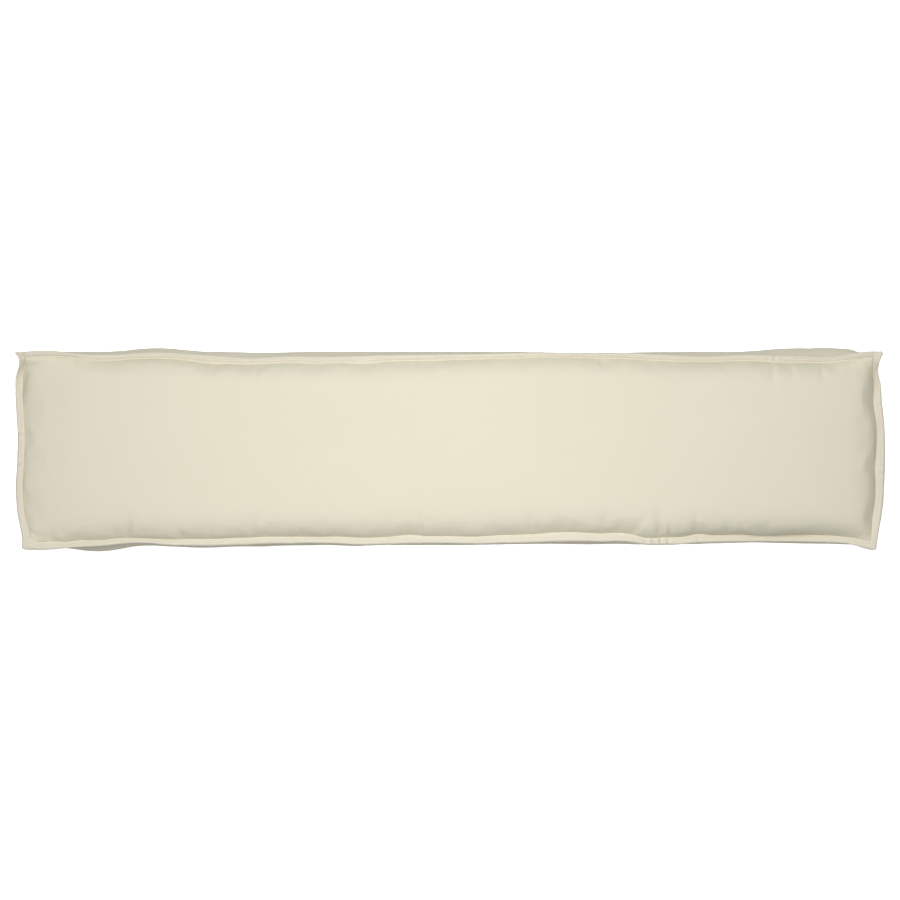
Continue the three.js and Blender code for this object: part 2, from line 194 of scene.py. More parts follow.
BELLY_WAVES = {
    "top": [
        (-0.405, 0.078, 0.0050),
        (-0.260, 0.070, -0.0012),
        (0.200, 0.130, -0.0016),
        (0.448, 0.060, 0.0018),
        (0.512, 0.105, 0.0052),
    ],
    "bottom": [
        (-0.492, 0.085, 0.0076),
        (-0.480, 0.050, 0.0012),
        (-0.350, 0.090, 0.0026),
        (-0.290, 0.150, 0.0014),
        (-0.262, 0.035, 0.0008),
        (-0.130, 0.045, 0.0012),
        (0.130, 0.130, -0.0016),
        (0.235, 0.050, -0.0014),
        (0.440, 0.170, -0.0034),
    ],
    "left": [],
    "right": [(0.104, 0.036, -0.0034)],
}
WAVE_DEPTH = 0.075

# Where the front seam runs nearer to the flange's edge, or further in: at, reach, out.
SEAM_SHIFTS = {
    "top": [
        (-0.516, 0.045, 0.0022),
        (-0.440, 0.050, 0.0008),
        (-0.337, 0.030, -0.0014),
        (-0.322, 0.025, -0.0012),
        (-0.190, 0.040, -0.0010),
        (-0.117, 0.045, -0.0024),
        (0.030, 0.080, 0.0010),
        (0.160, 0.150, 0.0021),
        (0.345, 0.045, 0.0012),
        (0.460, 0.050, -0.0012),
        (0.562, 0.025, -0.0012),
        (0.000, 3.000, 0.0010),
    ],
    "bottom": [
        (-0.550, 0.030, -0.0016),
        (-0.534, 0.025, 0.0016),
        (-0.457, 0.030, -0.0014),
        (-0.434, 0.110, 0.0033),
        (-0.187, 0.040, 0.0012),
        (-0.058, 0.032, -0.0022),
        (0.075, 0.060, -0.0012),
        (0.172, 0.115, -0.0034),
        (0.195, 0.030, 0.0012),
        (0.241, 0.030, -0.0008),
        (0.342, 0.022, -0.0030),
        (0.445, 0.060, 0.0016),
        (0.551, 0.022, 0.0014),
    ],
    "left": [
        (0.000, 0.500, 0.0026),
        (0.117, 0.022, 0.0048),
    ],
    "right": [
        (-0.116, 0.030, 0.0040),
        (-0.024, 0.030, -0.0020),
        (0.030, 0.030, 0.0012),
        (0.106, 0.042, 0.0052),
    ],
}

# Puckers of the front panel, each a trough that starts at the seam: at, length, width, depth, lean.
PUCKERS = {
    "top": [
        (-0.347, 0.030, 0.0074, 0.0009, 0.2),
        (-0.262, 0.034, 0.0074, 0.0014, -0.4),
        (-0.152, 0.030, 0.0062, 0.0011, 0.0),
        (-0.096, 0.026, 0.0062, 0.0009, 0.1),
        (-0.062, 0.024, 0.0056, 0.0007, 0.0),
        (-0.016, 0.048, 0.0068, 0.0022, 0.0),
        (0.060, 0.022, 0.0074, 0.0006, 0.1),
        (0.160, 0.024, 0.0074, 0.0006, 0.2),
        (0.235, 0.026, 0.0087, 0.0009, 0.0),
        (0.305, 0.036, 0.0099, 0.0014, -0.3),
        (0.378, 0.026, 0.0074, 0.0009, 0.2),
        (0.444, 0.048, 0.0074, 0.0024, 0.0),
        (0.470, 0.034, 0.0062, 0.0014, 0.1),
        (0.511, 0.036, 0.0074, 0.0017, 0.1),
    ],
    "bottom": [
        (-0.506, 0.030, 0.0099, 0.0009, 0.0),
        (-0.462, 0.026, 0.0062, 0.0011, 0.1),
        (-0.446, 0.052, 0.0081, 0.0029, 0.2),
        (-0.372, 0.030, 0.0081, 0.0011, 0.0),
        (-0.330, 0.026, 0.0074, 0.0009, 0.0),
        (-0.272, 0.046, 0.0081, 0.0021, 0.1),
        (-0.205, 0.026, 0.0081, 0.0009, 0.0),
        (-0.120, 0.040, 0.0081, 0.0017, 0.0),
        (-0.085, 0.034, 0.0074, 0.0014, 0.1),
        (-0.040, 0.052, 0.0068, 0.0022, -0.1),
        (0.012, 0.030, 0.0081, 0.0012, 0.0),
        (0.060, 0.024, 0.0074, 0.0009, 0.1),
        (0.110, 0.050, 0.0074, 0.0024, 0.0),
        (0.151, 0.028, 0.0074, 0.0011, 0.0),
        (0.210, 0.040, 0.0112, 0.0017, 0.0),
        (0.252, 0.040, 0.0081, 0.0022, 0.4),
        (0.290, 0.050, 0.0087, 0.0042, -0.1),
        (0.306, 0.046, 0.0062, 0.0029, -0.3),
        (0.338, 0.040, 0.0081, 0.0021, -0.1),
        (0.382, 0.032, 0.0087, 0.0015, 0.1),
        (0.436, 0.028, 0.0087, 0.0010, 0.0),
        (0.492, 0.028, 0.0093, 0.0009, 0.0),
    ],
    "left": [
        (0.098, 0.022, 0.0062, 0.0015, 0.3),
        (0.052, 0.018, 0.0050, 0.0010, 0.0),
        (0.020, 0.024, 0.0062, 0.0015, 0.0),
        (-0.024, 0.018, 0.0050, 0.0010, 0.1),
        (-0.078, 0.024, 0.0062, 0.0015, -0.2),
        (-0.108, 0.020, 0.0056, 0.0012, -0.4),
    ],
    "right": [
        (0.050, 0.022, 0.0068, 0.0011, 0.0),
        (0.018, 0.022, 0.0062, 0.0010, 0.0),
        (-0.020, 0.022, 0.0062, 0.0009, 0.0),
        (-0.062, 0.028, 0.0074, 0.0014, -0.1),
    ],
}

# A pucker's width at the seam, and how much it gains by its end, as shares of the listed width. It
# deepens from the seam over a share of its length, ever more slowly. The ridge beside it stands off
# by so many widths and has its own reach in widths and its share of the depth.
PUCKER_MOUTH = 0.7
PUCKER_FLARE = 0.8
PUCKER_START = 0.18
PUCKER_ONSET = 0.7
RIDGE_PLACE = 1.3
RIDGE_REACH = 0.9
RIDGE_SHARE = 0.35

# How the filling blows up the cloth. It is held fast at its seams and where it lies. Elsewhere the
# packed filling holds it with the shares below, least near the seams, where there is spare cloth.
PRESSURE = 4.0
CLOTH_MASS = 0.25
CLOTH_STIFFNESS = 30.0
CLOTH_SHEAR = 10.0
CLOTH_BENDING = 0.05
SPARE_CLOTH = 0.009
SEAM_HOLD = 0.18
PANEL_HOLD = 0.32
BOXING_HOLD = 0.26
BOXING_TAUTNESS = 0.6
HOLD_REACH = 0.045
SWELL_FRAMES = 20
STEPS_PER_FRAME = 5

# Points closer than these to a seam, to the ground or to a share of 0 or 1 count as lying there.
ON_SEAM = 0.0001
ON_GROUND = 0.0002
ON_PANEL = 0.001

# Small gathers along the seams, with a slower wave under them. They start beside the seam and die out
# within their reach.
GATHER_PITCH = 0.011
GATHER_HEIGHT = 0.0010
GATHER_START = 0.004
GATHER_REACH = 0.024
SLOW_GATHER_PITCH = 2.3 * GATHER_PITCH
SLOW_GATHER_SHARE = 0.6

# Slow unevenness of the filling: pitch and height of each wave.
LUMPS = [(0.150, 0.0011), (0.060, 0.0004)]

# The rows of the noise that each of these is read from, and the level of the lines through it.
GATHER_ROW = 3.1
SLOW_GATHER_ROW = 7.3
LUMP_ROW = 11.7
NOISE_LEVEL = 0.5


def hump(distance, reach):
    """1 in the middle, falling smoothly to 0 at its reach."""
    return (1 + np.cos(np.pi * np.minimum(np.abs(distance) / reach, 1))) / 2


def summed_waves(rows, position):
    return sum((size * hump(position - at, reach) for at, reach, size in rows), np.zeros_like(position))


def sunk_in(distance, reach):
    """1 at the seam, falling off most steeply right beside it."""
    return 1 - np.tanh(distance / reach)


def from_sides(table, x, y, fade_reach, shape=hump):
    """The table's value on each side, fading inward from that side's seam."""
    def fade(inset):
        return shape(np.maximum(inset, 0), fade_reach)

    half_x, half_y = SEAM_HALF
    return (
        summed_waves(table["top"], x) * fade(half_y - y),
        summed_waves(table["bottom"], x) * fade(half_y + y),
        summed_waves(table["left"], y) * fade(half_x + x),
        summed_waves(table["right"], y) * fade(half_x - x),
    )


def drawn(table, x, y):
    """Moves plan points with the waves of an outline."""
    top, bottom, left, right = from_sides(table, x, y, WAVE_DEPTH)
    return x + right - left, y + top - bottom


def corner_value(x, y, name):
    """The value in the named column of the corner that each point is nearest to."""
    column = CORNER_COLUMNS.index(name)

    def pick(across):
        return np.where(x < 0, CORNERS["left", across][column], CORNERS["right", across][column])

    return np.where(y < 0, pick("bottom"), pick("top"))


def rounded(x, y):
    """Takes points of the square face to their places on the face with rounded corners."""
    inset_x = SEAM_HALF[0] - np.abs(x)
    inset_y = SEAM_HALF[1] - np.abs(y)
    corner_radius = corner_value(x, y, "radius")
    ring = np.minimum(inset_x, inset_y)
    radius = np.maximum(corner_radius - ring, LEAST_RADIUS)
    turn = (math.pi / 4) * (1 - np.clip((np.maximum(inset_x, inset_y) - ring) / radius, 0, 1))
    near = corner_radius - radius * np.cos(turn)
    far = corner_radius - radius * np.sin(turn)
    at_corner = np.maximum(inset_x, inset_y) < corner_radius
    new_x = np.where(at_corner, np.where(inset_x <= inset_y, near, far), inset_x)
    new_y = np.where(at_corner, np.where(inset_x <= inset_y, far, near), inset_y)
    return np.sign(x) * (SEAM_HALF[0] - new_x), np.sign(y) * (SEAM_HALF[1] - new_y)


def front_seam_height(x, y):
    along = hump(SEAM_HALF[0] - np.abs(x), corner_value(x, y, "reach along"))
    across = hump(SEAM_HALF[1] - np.abs(y), corner_value(x, y, "reach across"))
    dips = sum(from_sides(SEAM_DIPS, x, y, DIP_REACH, sunk_in))
    return FRONT_SEAM + dips + corner_value(x, y, "lift") * along * across


def crown_share(crown, x, y):
    """Share of the full crown, from 0 at the seam to nearly 1 in the middle."""
    def climb(inset, side):
        return sum(share * np.tanh(inset / reach) for share, reach in crown[side])

    inset_x, inset_y = SEAM_HALF[0] - np.abs(x), SEAM_HALF[1] - np.abs(y)
    across = np.where(y < 0, climb(inset_y, "bottom"), climb(inset_y, "top"))
    along = np.where(x < 0, climb(inset_x, "left"), climb(inset_x, "right"))
    return across * along


def front_plan(x, y):
    """Where points of the front panel lie in plan."""
    waved_x, waved_y = drawn(FRONT_WAVES, *rounded(x, y))
    shifted_x, shifted_y = drawn(SEAM_SHIFTS, x, y)
    return waved_x + shifted_x - x, waved_y + shifted_y - y


def front_face(x, y):
    plan_x, plan_y = front_plan(x, y)
    edge = front_seam_height(x, y) + SEAM_WALL / 2
    height = edge + (THICKNESS - edge) * crown_share(FRONT_CLIMB, x, y)
    return np.stack([plan_x, plan_y, height], axis=-1)


def back_face(x, y):
    plan_x, plan_y = drawn(BACK_WAVES, *rounded(x, y))
    height = BACK_SEAM - SEAM_WALL / 2 - BACK_CROWN * crown_share(BACK_CLIMB, x, y)
    return np.stack([plan_x, plan_y, np.maximum(height, 0)], axis=-1)


def boxing(x, y, share):
    """A loop of the boxing, from the back seam (share 0) to the front seam (share 1)."""
    back_x, back_y = drawn(BACK_WAVES, *rounded(x, y))
    front_x, front_y = front_plan(x, y)
    top, bottom, left, right = from_sides(BELLY_WAVES, x, y, WAVE_DEPTH)

    def near_corner(inset):
        return CORNER_BELLY + (1 - CORNER_BELLY) * np.clip(inset / CORNER_BELLY_REACH, 0, 1)

    inset_x, inset_y = SEAM_HALF[0] - np.abs(x), SEAM_HALF[1] - np.abs(y)
    reach_y = np.where(y > 0, BELLY["top"] + top, BELLY["bottom"] + bottom)
    bulge_y = (reach_y - SEAM_HALF[1]) * near_corner(inset_x) * (inset_y == 0)
    reach_x = BELLY["end"] + np.where(x > 0, right, left)
    bulge_x = (reach_x - SEAM_HALF[0]) * near_corner(inset_y) * (inset_x == 0)
    corner_x, corner_y = rounded(x, y)
    fullness = math.sin(math.pi * share) ** BELLY_ROUNDNESS
    low, high = BACK_SEAM + SEAM_WALL / 2, front_seam_height(x, y) - SEAM_WALL / 2
    plain_x = back_x + (front_x - back_x) * share
    plain_y = back_y + (front_y - back_y) * share
    belly_x = corner_x + np.sign(x) * bulge_x
    belly_y = corner_y + np.sign(y) * bulge_y
    return np.stack([
        plain_x + (belly_x - plain_x) * fullness,
        plain_y + (belly_y - plain_y) * fullness,
        low + (high - low) * share,
    ], axis=-1)


def graded_lines(half, fine, wide):
    """Grid lines from side to side, close together at the seams."""
    insets, step = [0.0], fine
    while insets[-1] < half:
        insets.append(insets[-1] + step)
        step = min(step * STEP_GROWTH, wide)
    insets = np.array(insets) * half / insets[-1]
    return np.concatenate([insets - half, (half - insets)[-2::-1]])


def around_seam(columns, rows):
    """Column and row numbers of the grid's rim, counter-clockwise seen from the front."""
    last_column, last_row = len(columns) - 1, len(rows) - 1
    rim = [(i, 0) for i in range(last_column)]
    rim += [(last_column, j) for j in range(last_row)]
    rim += [(i, last_row) for i in range(last_column, 0, -1)]
    return rim + [(0, j) for j in range(last_row, 0, -1)]


def new_piece(name, points, faces):
    mesh = bpy.data.meshes.new(name)
    mesh.from_pydata([tuple(point) for point in points], [], faces)
    mesh.shade_smooth()
    return placed(name, mesh)


def mark_points(mesh, name, vectors):
    """Keeps a vector for each point of the mesh, under a name."""
    marks = mesh.attributes.new(name, "FLOAT_VECTOR", "POINT")
    marks.data.foreach_set("vector", np.asarray(vectors, np.float32).ravel())


def vectors_in(items, name):
    flat = np.empty(len(items) * 3, np.float32)
    items.foreach_get(name, flat)
    return flat.reshape(-1, 3).astype(float)


def points_of(mesh):
    return vectors_in(mesh.vertices, "co")


def layout_of(mesh):
    """Each point's x and y on its panel and its share of the boxing's height."""
    return vectors_in(mesh.attributes["layout"].data, "vector").T


def set_points(mesh, points):
    mesh.vertices.foreach_set("co", points.astype(np.float32).ravel())
    mesh.update()


def sew_cushion():
    """Both panels and the boxing as one closed mesh, laid out by x and y on a panel and the share."""
    columns = graded_lines(SEAM_HALF[0], FINE_STEP, STEP_ALONG)
    rows = graded_lines(SEAM_HALF[1], FINE_STEP, STEP_ACROSS)
    rim = around_seam(columns, rows)
    grid_x, grid_y = (axis.ravel() for axis in np.meshgrid(columns, rows, indexing="ij"))
    rim_x, rim_y = columns[[i for i, _ in rim]], rows[[j for _, j in rim]]
    shares = [row / BOXING_ROWS for row in range(BOXING_ROWS + 1)]
    points = [front_face(grid_x, grid_y), back_face(grid_x, grid_y)]
    points += [boxing(rim_x, rim_y, share) for share in shares]
    layout = [np.stack([grid_x, grid_y, np.full_like(grid_x, side)], axis=-1) for side in (1, 0)]
    layout += [np.stack([rim_x, rim_y, np.full_like(rim_x, share)], axis=-1) for share in shares]

    per_panel, per_row = len(grid_x), len(rows)
    faces = []
    for i in range(len(columns) - 1):
        for j in range(per_row - 1):
            a, b = i * per_row + j, (i + 1) * per_row + j
            faces.append((a, b, b + 1, a + 1))
            faces.append(tuple(per_panel + corner for corner in (a + 1, b + 1, b, a)))
    front_rim = [i * per_row + j for i, j in rim]
    loops = [[per_panel + corner for corner in front_rim]]
    for row in range(BOXING_ROWS + 1):
        start = 2 * per_panel + row * len(rim)
        loops.append(list(range(start, start + len(rim))))
    loops.append(front_rim)
    for lower, upper in zip(loops, loops[1:]):
        for k in range(len(rim)):
            after = (k + 1) % len(rim)
            faces.append((lower[k], lower[after], upper[after], upper[k]))
    cover = new_piece("cushion_cover", np.concatenate(points), faces)
    mark_points(cover.data, "layout", np.concatenate(layout))
    return cover


def bake(piece, modifier):
    """Turns what the modifier makes into the piece's plain mesh. Marks on the points stay."""
    evaluated = piece.evaluated_get(bpy.context.evaluated_depsgraph_get())
    piece.data = bpy.data.meshes.new_from_object(evaluated)
    piece.modifiers.remove(modifier)


def subdivide(piece):
    modifier = piece.modifiers.new("subdivision", "SUBSURF")
    modifier.levels = modifier.render_levels = 1
    bake(piece, modifier)
    piece.data.shade_smooth()


def blown_up(piece):
    """Where the points go when Blender's cloth fills the cover: held at its seams and where it lies."""
    x, y, share = layout_of(piece.data)
    start = points_of(piece.data)
    inset = np.minimum(SEAM_HALF[0] - np.abs(x), SEAM_HALF[1] - np.abs(y))
    between = (share > ON_PANEL) & (share < 1 - ON_PANEL)
    near_seam = hump(inset, HOLD_REACH)
    hold = PANEL_HOLD + (SEAM_HOLD - PANEL_HOLD) * near_seam
    hold[between] = BOXING_HOLD
    hold[(inset < ON_SEAM) & ~between | (start[:, 2] < ON_GROUND)] = 1
    taut = np.where(between, BOXING_TAUTNESS, 1 - near_seam)
    for name, weights in (("hold", hold), ("taut", taut)):
        group = piece.vertex_groups.new(name=name)
        for number, weight in enumerate(weights):
            group.add([number], float(weight), "REPLACE")

    modifier = piece.modifiers.new("cloth", "CLOTH")
    cloth = modifier.settings
    cloth.quality = STEPS_PER_FRAME
    cloth.mass = CLOTH_MASS
    cloth.tension_stiffness = CLOTH_STIFFNESS
    cloth.compression_stiffness = CLOTH_STIFFNESS
    cloth.shear_stiffness = CLOTH_SHEAR
    cloth.bending_stiffness = CLOTH_BENDING
    cloth.vertex_group_mass = "hold"
    cloth.vertex_group_shrink = "taut"
    cloth.use_pressure = True
    cloth.uniform_pressure_force = PRESSURE
    cloth.shrink_min, cloth.shrink_max = -SPARE_CLOTH, 0
    cloth.effector_weights.gravity = 0
    modifier.collision_settings.use_collision = False
    modifier.point_cache.frame_start, modifier.point_cache.frame_end = 1, SWELL_FRAMES
    scene = bpy.context.scene
    for moment in range(1, SWELL_FRAMES + 1):
        scene.frame_set(moment)
    evaluated = piece.evaluated_get(bpy.context.evaluated_depsgraph_get())
    swollen = points_of(evaluated.to_mesh())
    evaluated.to_mesh_clear()
    piece.modifiers.remove(modifier)
    piece.vertex_groups.clear()
    scene.frame_set(1)
    return swollen


def noise_line(positions, pitch, row):
    return np.array([noise.noise((position / pitch, row, NOISE_LEVEL)) for position in positions])


def noise_field(points, pitch, row):
    return np.array([noise.noise(tuple(point / pitch + row)) for point in points])


def pucker_depth(x, y):
    """Depth of the troughs in the front panel, each with a low ridge beside it."""
    half_x, half_y = SEAM_HALF
    sides = {
        "top": (x, half_y - y), "bottom": (x, half_y + y),
        "left": (y, half_x + x), "right": (y, half_x - x),
    }
    depth = np.zeros_like(x)
    for side, (along, inset) in sides.items():
        for at, length, width, deep, lean in PUCKERS[side]:
            spread = width * (PUCKER_MOUTH + PUCKER_FLARE * np.clip(inset / length, 0, 1))
            offset = (along - at - lean * inset) / spread
            start = np.clip(inset / (length * PUCKER_START), 0, 1) ** PUCKER_ONSET
            fade = start * hump(inset, length)
            ridge = RIDGE_SHARE * hump(offset - RIDGE_PLACE, RIDGE_REACH)
            depth += deep * fade * (hump(offset, 1) - ridge)
    return depth


def gather(x, y):
    """Fine uneven gathers that die out a little way from the seam."""
    half_x, half_y = SEAM_HALF
    total = np.zeros_like(x)
    sides = ((x, half_y - y), (x, half_y + y), (y, half_x + x), (y, half_x - x))
    for number, (along, inset) in enumerate(sides):
        near = inset < GATHER_REACH
        row = GATHER_ROW + number
        ripple = noise_line(along[near], GATHER_PITCH, row)
        ripple += SLOW_GATHER_SHARE * noise_line(along[near], SLOW_GATHER_PITCH, row + SLOW_GATHER_ROW)
        start = np.clip(inset[near] / GATHER_START, 0, 1)
        total[near] += ripple * start * hump(inset[near], GATHER_REACH)
    return total


cushion_cover = sew_cushion()
set_points(cushion_cover.data, blown_up(cushion_cover))
subdivide(cushion_cover)
cover_points = points_of(cushion_cover.data)
layout_x, layout_y, layout_share = layout_of(cushion_cover.data)
on_front = layout_share > 1 - ON_PANEL
front_drop = np.zeros(len(cover_points))
front_drop[on_front] = (
    pucker_depth(layout_x[on_front], layout_y[on_front])
    - GATHER_HEIGHT * gather(layout_x[on_front], layout_y[on_front])
)
for pitch, height in LUMPS:
    lumps = noise_field(cover_points[on_front], pitch, LUMP_ROW)
    front_drop[on_front] -= height * lumps * crown_share(
        FRONT_CLIMB, layout_x[on_front], layout_y[on_front])
cover_points[:, 2] -= front_drop
set_points(cushion_cover.data, cover_points)


class Wire:
    """A socket in a tree of nodes, so that sums and products of values read as such."""

    def __init__(self, tree, socket=None):
        self.tree = tree
        self.socket = socket

    def node(self, kind, settings=None, inputs=None, output=0):
        made = self.tree.nodes.new(kind)
        for name, value in (settings or {}).items():
            setattr(made, name, value)
        for key, value in (inputs or {}).items():
            if isinstance(value, Wire):
                self.tree.links.new(value.socket, made.inputs[key])
            else:
                made.inputs[key].default_value = value
        return Wire(self.tree, made.outputs[output])

    def math(self, operation, *values):
        return self.node("ShaderNodeMath", {"operation": operation}, dict(enumerate(values)))

    def __add__(self, other):
        return self.math("ADD", self, other)

    __radd__ = __add__

    def __sub__(self, other):
        return self.math("SUBTRACT", self, other)

    def __rsub__(self, other):
        return self.math("SUBTRACT", other, self)

    def __mul__(self, other):
        return self.math("MULTIPLY", self, other)

    __rmul__ = __mul__


# The cloth's threads: their pitch and how far the weave stands out. The thicker ones are streaks of
# noise, so fine across the thread and so coarse along it, and they stand out that much more.
THREAD_PITCH = 0.0011
WEAVE_HEIGHT = 0.00007
ALONG_STREAK, ACROSS_STREAK = 30, 900
STREAK_DETAIL = 2
STREAK_HEIGHT = 1.5 * WEAVE_HEIGHT
STREAK_TONE = 0.35

# The slow shifts of its colour, and the slight unevenness of its surface.
DRIFT_SCALE = 5
DRIFT_TONE = 0.9
RUMPLE_SCALE = 28
RUMPLE_HEIGHT = 0.0009
SLOW_DETAIL = 3
NOISE_ROUGHNESS = 0.55

# Its finish: matt, a little rougher on the threads that lie on top, with a faint bloom of loose fibre.
CLOTH_ROUGHNESS = 0.86
WEAVE_ROUGHNESS = 0.06
CLOTH_SHINE = 0.25
CLOTH_BLOOM = 0.12
BLOOM_ROUGHNESS = 0.5

# The sockets of a Mix node that blends two colours.
FIRST_COLOUR, SECOND_COLOUR, BLENDED = 6, 7, 2


def plain_cloth(name, colour, shade):
    """Matt plain-woven cloth: the weave, thicker threads here and there, and slow shifts of colour."""
    material = bpy.data.materials.new(name)
    material.use_nodes = True
    tree = material.node_tree
    surface = tree.nodes["Principled BSDF"]
    start = Wire(tree)
    place = start.node("ShaderNodeTexCoord", output="Object")

    def noise_at(scale, detail, stretch=(1, 1, 1)):
        mapped = start.node("ShaderNodeMapping", {"vector_type": "POINT"},
                            {"Vector": place, "Scale": stretch})
        return start.node(
            "ShaderNodeTexNoise", {"noise_dimensions": "3D"},
            {"Vector": mapped, "Scale": scale, "Detail": detail, "Roughness": NOISE_ROUGHNESS})

    along, across, upward = (
        start.node("ShaderNodeSeparateXYZ", inputs={"Vector": place}, output=axis) for axis in "XYZ")
    turns = 2 * math.pi / THREAD_PITCH
    warp = start.math("SINE", along * turns)
    weft = start.math("SINE", (across + upward) * turns)
    weave = warp * weft
    warp_streaks = noise_at(1, STREAK_DETAIL, (ALONG_STREAK, ACROSS_STREAK, ACROSS_STREAK))
    weft_streaks = noise_at(1, STREAK_DETAIL, (ACROSS_STREAK, ALONG_STREAK, ALONG_STREAK))
    streaks = warp_streaks + weft_streaks - 1
    drift = noise_at(DRIFT_SCALE, SLOW_DETAIL) - 0.5
    rumple = noise_at(RUMPLE_SCALE, SLOW_DETAIL) - 0.5
    tone = 0.5 + DRIFT_TONE * drift + STREAK_TONE * streaks
    tone = start.math("MINIMUM", start.math("MAXIMUM", tone, 0.0), 1.0)
    blended = start.node(
        "ShaderNodeMix", {"data_type": "RGBA"},
        {"Factor": tone, FIRST_COLOUR: (*shade, 1), SECOND_COLOUR: (*colour, 1)}, output=BLENDED)
    height = weave * WEAVE_HEIGHT + streaks * STREAK_HEIGHT + rumple * RUMPLE_HEIGHT
    bump = start.node("ShaderNodeBump", inputs={"Strength": 1.0, "Distance": 1.0, "Height": height})
    tree.links.new(blended.socket, surface.inputs["Base Color"])
    tree.links.new((CLOTH_ROUGHNESS + WEAVE_ROUGHNESS * weave).socket, surface.inputs["Roughness"])
    tree.links.new(bump.socket, surface.inputs["Normal"])
    surface.inputs["Specular IOR Level"].default_value = CLOTH_SHINE
    surface.inputs["Sheen Weight"].default_value = CLOTH_BLOOM
    surface.inputs["Sheen Roughness"].default_value = BLOOM_ROUGHNESS
    return material


cushion_cover.data.materials.append(plain_cloth(
    "cushion_cloth", colour=(0.80, 0.757, 0.605), shade=(0.765, 0.718, 0.563)))
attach(cushion_cover, "root")
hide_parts("cushion")


# The sewn flange round each face: the edges of a panel and of the boxing are turned in, laid on
# each other and topstitched, so four layers stand out from the seam as a flat strip. Each side has
# its own strip. The two end strips are sewn last and lap over the long ones at the corners.
FLANGE_WIDTH = {"end": 0.012, "long": 0.010}
FLANGE_RISE = 0.0012

# The steps of a strip's points: the first at its ends, and the widest between them.
FLANGE_STEPS = (0.0016, 0.0024)

# The strip's section from its seam to its folded edge: share of the width, height of its middle,
# half of its thickness. The low place halfway is the groove of the topstitch.
FLANGE_SECTION = [
    (-0.120, -0.0007, 0.0007),
    (0.030, -0.0007, 0.0007),
    (0.120, -0.0006, 0.0008),
    (0.220, 0.0000, 0.0010),
    (0.330, 0.0008, 0.0013),
    (0.420, 0.0015, 0.0014),
    (0.500, 0.0018, 0.0011),
    (0.545, 0.0018, 0.0008),
    (0.590, 0.0020, 0.0010),
    (0.660, 0.0023, 0.0013),
    (0.760, 0.0022, 0.0015),
    (0.850, 0.0019, 0.0014),
    (0.920, 0.0014, 0.0011),
    (0.970, 0.0009, 0.0007),
    (1.000, 0.0005, 0.0003),
    (0.970, 0.0005, 0.0000),
]
GROOVE_SHARE = 0.545

# How the end strips lie on the long ones: the lift at the corners and its reach, how far the end
# strips' own ends are rounded and by what share they close, and how much shorter the long strips are.
LAP_LIFT = 0.0030
LAP_REACH = 0.030
END_ROUNDING = 0.0040
END_CLOSING = 0.98
LAPPED_END = 0.0060

# Waves of the front flange's folded edge up and down: at, reach, rise.
FLANGE_LIFTS = {
    "top": [
        (-0.470, 0.060, -0.0018),
        (-0.330, 0.070, 0.0020),
        (-0.120, 0.090, -0.0015),
        (0.230, 0.090, 0.0020),
        (0.400, 0.060, -0.0020),
    ],
    "bottom": [
        (-0.500, 0.070, 0.0022),
        (-0.300, 0.080, -0.0014),
        (0.275, 0.032, -0.0026),
        (0.480, 0.090, 0.0018),
    ],
    "left": [
        (-0.040, 0.075, -0.0020),
        (0.045, 0.040, 0.0020),
        (0.110, 0.034, 0.0080),
    ],
    "right": [
        (-0.040, 0.060, -0.0020),
        (0.095, 0.030, 0.0030),
    ],
}

# The fine ripple of the folded edge, read from one row of the noise, each side at its own place.
FLANGE_RIPPLE_PITCH = 0.013
FLANGE_RIPPLE = 0.0007
RIPPLE_ROW = 2.2
RIPPLE_SHIFT = {"left": 0, "right": 3, "top": 6, "bottom": 9}

# Where the front flange is gathered into small pleats: at, reach, height. They all have one pitch and
# rise from the seam over a share of the flange's width.
FLANGE_PLEATS = {
    "top": [(-0.263, 0.014, 0.0010), (-0.016, 0.018, 0.0014), (0.444, 0.020, 0.0013)],
    "bottom": [
        (-0.446, 0.016, 0.0013),
        (-0.206, 0.014, 0.0013),
        (-0.040, 0.014, 0.0012),
        (0.104, 0.022, 0.0013),
        (0.287, 0.034, 0.0025),
        (0.345, 0.014, 0.0014),
    ],
    "left": [(0.080, 0.012, 0.0015), (0.021, 0.014, 0.0019), (-0.019, 0.012, 0.0013)],
    "right": [(0.060, 0.014, 0.0012), (-0.030, 0.014, 0.0011)],
}
PLEAT_PITCH = 0.0105
PLEAT_RISE = 0.30


def strip_point(face, side, along, share):
    """Plan place of a point of one side's strip, and the nearest place on the seam's layout."""
    half_x, half_y = SEAM_HALF
    if side in ("left", "right"):
        sign = 1 if side == "right" else -1
        x_in, y_in = np.full_like(along, sign * half_x), along
        x_out, y_out = x_in + sign * FLANGE_WIDTH["end"], along
    else:
        sign = 1 if side == "top" else -1
        radius = corner_value(along, np.full_like(along, sign), "radius")
        past = np.clip(np.abs(along) - (half_x - radius), 0, radius)
        x_in, y_in = along, sign * (half_y - radius + np.sqrt(radius ** 2 - past ** 2))
        x_out, y_out = along, np.full_like(along, sign * (half_y + FLANGE_WIDTH["long"]))
    waves = FRONT_WAVES if face == "front" else BACK_WAVES
    inner = np.stack(drawn(waves, x_in, y_in), axis=-1)
    if face == "front":
        inner += np.stack(drawn(SEAM_SHIFTS, x_in, y_in), axis=-1) - np.stack([x_in, y_in], axis=-1)
    outer = np.stack(drawn(waves, x_out, y_out), axis=-1)
    plan = inner + (outer - inner) * share[:, None]
    return plan, np.clip(x_in, -half_x, half_x), np.clip(y_in, -half_y, half_y)


